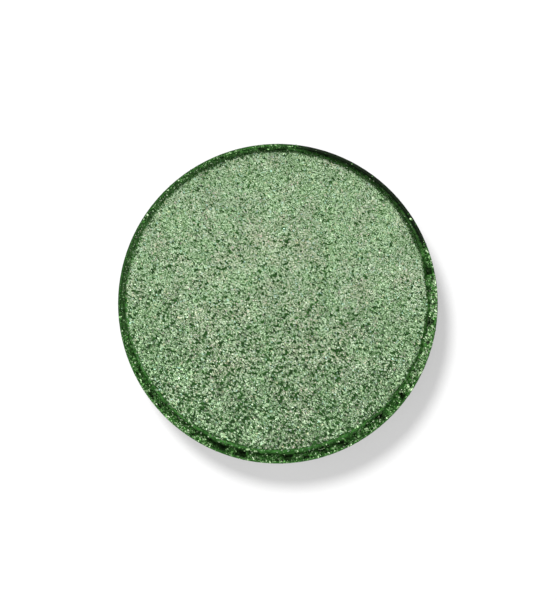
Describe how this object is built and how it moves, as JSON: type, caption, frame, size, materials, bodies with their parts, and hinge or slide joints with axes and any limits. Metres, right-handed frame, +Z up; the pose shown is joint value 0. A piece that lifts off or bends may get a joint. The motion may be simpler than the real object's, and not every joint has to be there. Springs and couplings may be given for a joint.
{
  "type": "pressed powder pan",
  "caption": "Shallow round metal pan filled with green shimmering pressed powder, its flat pressed face ringed by a crumbly groove, with a blank paper label under its base.",
  "frame": {"origin": "centre of the label's lower face, on the pan's axis, in the plane that the refill lies on", "axes": "+Z up along the pan's axis, from the base to the open rim; +X and +Y lie in the base plane, and the pressed face sits slightly off centre, 0.25 mm towards +Y and 0.05 mm towards -X"},
  "size_m": [0.026, 0.026, 0.0036],
  "materials": {
    "tinplate": "bright tinplate with faint draw lines and green pigment dust near the rim",
    "shimmer_powder": "pressed mica powder: pale silver-green flakes over a deep green base, sparkling",
    "label_paper": "matt white paper, blank"
  },
  "bodies": {
    "root": {"pan": "tinplate", "pressed_cake": "shimmer_powder", "base_label": "label_paper"}
  },
  "joints": []
}
